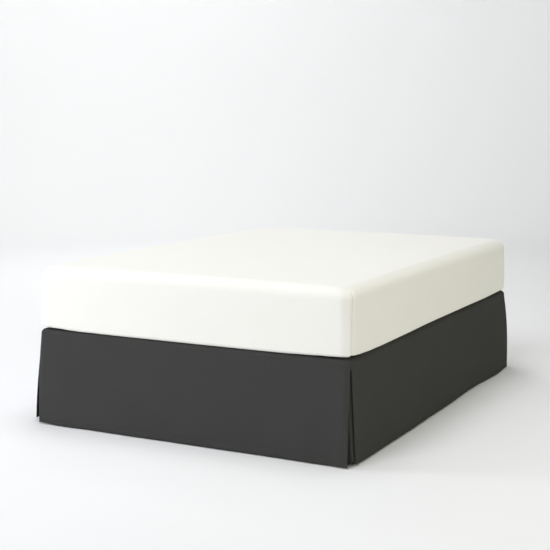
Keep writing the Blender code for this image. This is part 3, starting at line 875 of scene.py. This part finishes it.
def mattress_points():
    """A profile carried round the outline: in from the middle of the underside, which rises by
    3s² - 2s³ of its lift, a quarter circle under the edge, up the side, a quarter circle over the
    top edge, and in to the middle of the crowned top. Each corner seam is a narrow groove in a
    wide shallow one, two bell curves, with a deeper round one at its upper end. The rows go
    upwards, so moving points out along the grid's normals moves them into the mattress."""
    seam_run = HALF_WIDTH - PLAN_ROUND + PLAN_ROUND * math.pi / 2 + SEAM_PLACE
    half_ring = 2 * (HALF_WIDTH + HALF_LENGTH) - (8 - 2 * math.pi) * PLAN_ROUND / 2
    stops = np.array([
        0, HALF_WIDTH - PLAN_ROUND - 0.01, seam_run - 0.004, seam_run + 0.004, seam_run + 0.016])
    run = ring_runs([*stops, *(half_ring - stops[::-1])], [
        0.014, 0.0022, 0.0005, 0.003, 0.014, 0.003, 0.0005, 0.0022, 0.014])
    outline, _ = rounded_outline(run, HALF_WIDTH, HALF_LENGTH, PLAN_ROUND)
    along = np.interp(
        np.abs(outline[:, 1]), [0, HALF_LENGTH - PLAN_ROUND, HALF_LENGTH],
        [0, HALF_LENGTH - PLAN_DEPTH, HALF_LENGTH])
    outline[:, 1] = np.sign(outline[:, 1]) * along
    to_middle = half_ring / 2 - np.abs(run)
    from_seam = np.abs(half_ring / 2 - seam_run - np.abs(to_middle))
    followed = np.exp(-(from_seam / TOP_SHIFT_WIDTH) ** 2)
    shifted = run - np.sign(run * to_middle) * TOP_SHIFT * followed
    round_outline, _ = rounded_outline(shifted, HALF_WIDTH, HALF_LENGTH, PLAN_ROUND)
    lift = smooth_between(UNDER_LIFT, np.where(run < UNDER_LIFT[0][0], -run, run), 1)
    turn = np.linspace(0, math.pi / 2, 9)
    top_turn = np.linspace(0, math.pi / 2, 19)
    under_inset = np.concatenate([
        np.linspace(HALF_WIDTH, UNDER_REACH, 4), np.linspace(UNDER_REACH, UNDER_ROUND, 10)[1:]])
    over_inset = TOP_ROUND + (HALF_WIDTH - TOP_ROUND) * np.linspace(0, 1, 40)[1:] ** 1.15
    inset = np.concatenate([
        under_inset, UNDER_ROUND * (1 - np.sin(turn))[1:], np.zeros(SIDE_ROWS),
        TOP_ROUND * (1 - np.cos(top_turn))[1:], over_inset])[:, None]
    up_side = np.linspace(0, 1, SIDE_ROWS + 1)[1:]
    rounder = np.concatenate([
        np.full(len(under_inset) + len(turn) - 1, UNDER_ROUNDER),
        UNDER_ROUNDER + (1 - UNDER_ROUNDER) * up_side ** 3,
        np.ones(len(top_turn) - 1 + len(over_inset))])[:, None, None]
    plan = drawn_in(
        outline * (1 - rounder) + round_outline * rounder, HALF_WIDTH, HALF_LENGTH, inset / HALF_WIDTH)
    top = mattress_top(plan[..., 0], plan[..., 1])
    rise = top.copy()
    reach = np.clip((UNDER_REACH - under_inset) / (UNDER_REACH - UNDER_ROUND), 0, 1)[:, None]
    edge = top[-len(over_inset) - len(top_turn)]
    low, high = len(under_inset), len(under_inset) + len(turn) - 1
    rise[:low] = lift * reach * reach * (3 - 2 * reach)
    rise[low:high] = lift + UNDER_ROUND * (1 - np.cos(turn[1:, None]))
    low, high = high, high + SIDE_ROWS
    rise[low:high] = lift + UNDER_ROUND + (edge - TOP_ROUND - lift - UNDER_ROUND) * up_side[:, None]
    low, high = high, high + len(top_turn) - 1
    rise[low:high] = top[low:high] - TOP_ROUND * (1 - np.sin(top_turn[1:, None]))
    points = np.stack([plan[..., 0], plan[..., 1], rise], axis=-1)
    pucker_height = edge - TOP_ROUND * PUCKER_PLACE
    faded = np.clip((rise - SEAM_FADE[0]) / (SEAM_FADE[1] - SEAM_FADE[0]), 0, 1)
    upright = faded * np.clip((pucker_height + SEAM_END / 2 - rise) / SEAM_END, 0, 1)
    # The narrow groove's bell curve is also returned, as the mask of the painted shade along the seam.
    seam = np.exp(-(from_seam / SEAM_WIDTH) ** 2) * upright
    pull = PULL_DEPTH * np.exp(-(from_seam / PULL_WIDTH) ** 2) * np.clip((edge - rise) / TOP_ROUND, 0, 1)
    pucker = PUCKER_DEPTH * np.exp(-(from_seam ** 2 + (rise - pucker_height) ** 2) / PUCKER_WIDTH ** 2)
    points = moved_out(points, np.maximum(SEAM_DEPTH * seam + pull, pucker * (inset < TOP_ROUND)))
    hung = np.clip(edge - rise, 0, None)
    beside = np.abs(to_middle) < half_ring / 2 - seam_run
    away = np.where(beside[:, None], [1.0, 0.0], [0.0, 1.0]) * np.sign(outline)
    return points + np.array([0.0, FOOT_SHIFT, MATTRESS_LOW.z]), plan + away * hung[..., None], seam


percale = percale_sheet()
mattress_grid, mattress_cloth, mattress_seam_shade_mask = mattress_points()
mattress = add_surface(
    "mattress_in_fitted_sheet", mattress_grid, grid_faces(*mattress_grid.shape[:2], True), mattress_cloth,
    percale)
# The seam attribute is the mask of the painted shade along the corner seams.
seam_shade_values = mattress.data.attributes.new("seam", "FLOAT", "POINT")
seam_shade_values.data.foreach_set("value", mattress_seam_shade_mask.astype(np.float32).ravel())
close_doubles(mattress)
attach(mattress, "root")
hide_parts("mattress")


# Studio. A pale seamless floor that curves up into a wall all round, with five large soft lights
# and a weak even sky. None of it belongs to the bed.
FLOOR_RADIUS = 6.4
COVE_RADIUS = 2.4
WALL_TOP = 5.0
FLOOR_WHITE = "f4f5f6"
FLOOR_WHITE_DARK = "f2f3f4"
SKY_COLOUR = (1.0, 0.98, 0.92)
SKY_STRENGTH = 0.193
CAMERA_PLACE = (2.2884, -4.6114, 1.2291)
CAMERA_YAW = math.radians(27.377)
CAMERA_PITCH = math.radians(-7.721)
FOCAL_PIXELS = 1163.53  # for an image 550 pixels wide
IMAGE_WIDTH = 550

# The columns are (name, place, aim, size, watts, colour).
SOFT_LIGHTS = (
    ("front_light", (0.0, -3.60, 4.59), (0.0, 0.0, 0.4), 3.0, 123.0, (0.943, 0.952, 1.0)),
    ("low_left_light", (-4.79, -2.77, 1.18), (0.0, 0.0, 0.4), 1.6, 144.0, (0.963, 0.972, 1.0)),
    ("wall_light", (-3.0, 3.0, 5.0), (-4.4, 5.6, 0.6), 3.0, 158.0, (1.0, 1.0, 1.0)),
    ("top_light", (0.0, 0.0, 5.5), (0.0, 0.01, 0.0), 3.0, 79.0, (0.96, 0.975, 1.0)),
    ("right_light", (4.5, -1.0, 2.0), (0.7, 0.0, 0.3), 3.0, 42.0, (1.0, 0.96, 0.66)),
)


def studio_points():
    """A profile turned round the vertical axis: flat floor, a quarter circle cove, a straight wall."""
    around = np.linspace(0, math.tau, 96, endpoint=False)[None, :]
    turn = np.linspace(0, math.pi / 2, 24)[1:]
    radius = np.concatenate([
        np.linspace(0.0, FLOOR_RADIUS, 12), FLOOR_RADIUS + COVE_RADIUS * np.sin(turn),
        [FLOOR_RADIUS + COVE_RADIUS]])[:, None]
    height = np.concatenate([np.zeros(12), COVE_RADIUS * (1 - np.cos(turn)), [WALL_TOP]])[:, None]
    return np.stack(np.broadcast_arrays(radius * np.cos(around), radius * np.sin(around), height), axis=-1)


def matt_paint():
    """Matt white studio paint, rolled on so that it is not quite even."""
    material, tree, shader = new_material("matt_studio_paint", {
        "Roughness": 0.95, "Specular IOR Level": 0.1})
    place = add_node(tree, "ShaderNodeTexCoord", {}, {}).outputs["Object"]
    cloud = add_node(tree, "ShaderNodeTexNoise", {}, {"Vector": place, "Scale": 0.7, "Detail": 2.0})
    colour = add_node(tree, "ShaderNodeMix", {"data_type": "RGBA"}, {
        "Factor": cloud.outputs["Fac"], "A": linear_colour(FLOOR_WHITE_DARK),
        "B": linear_colour(FLOOR_WHITE)})
    tree.links.new(colour.outputs["Result"], shader.inputs["Base Color"])
    return material


studio_grid = studio_points()
studio = add_surface(
    "studio_floor", studio_grid, grid_faces(*studio_grid.shape[:2], True), studio_grid[..., :2],
    matt_paint())
close_doubles(studio)
studio.data.flip_normals()


def aimed(place, aim):
    """The turn that points an object's -Z from a place at an aim, with its X level."""
    direction = np.array(aim) - np.array(place)
    yaw = math.atan2(-direction[0], direction[1])
    pitch = math.atan2(direction[2], math.hypot(direction[0], direction[1]))
    return math.pi / 2 + pitch, 0.0, yaw


for light_name, place, aim, size, watts, colour in SOFT_LIGHTS:
    lamp = bpy.data.lights.new(light_name, "AREA")
    lamp.shape = "DISK"
    lamp.size = size
    lamp.energy = watts
    lamp.color = colour
    soft_light = bpy.data.objects.new(light_name, lamp)
    soft_light.location = place
    soft_light.rotation_euler = aimed(place, aim)
    soft_light.visible_camera = False
    bpy.context.scene.collection.objects.link(soft_light)

sky = bpy.data.worlds.new("even_sky")
sky.use_nodes = True
sky.node_tree.nodes["Background"].inputs["Color"].default_value = (*SKY_COLOUR, 1.0)
sky.node_tree.nodes["Background"].inputs["Strength"].default_value = SKY_STRENGTH
bpy.context.scene.world = sky

lens = bpy.data.cameras.new("camera")
lens.sensor_width = 36.0
lens.lens = lens.sensor_width * FOCAL_PIXELS / IMAGE_WIDTH
camera = bpy.data.objects.new("camera", lens)
camera.location = CAMERA_PLACE
camera.rotation_euler = (math.pi / 2 + CAMERA_PITCH, 0.0, CAMERA_YAW)
bpy.context.scene.collection.objects.link(camera)
bpy.context.scene.camera = camera
bpy.context.scene.view_settings.view_transform = "Standard"
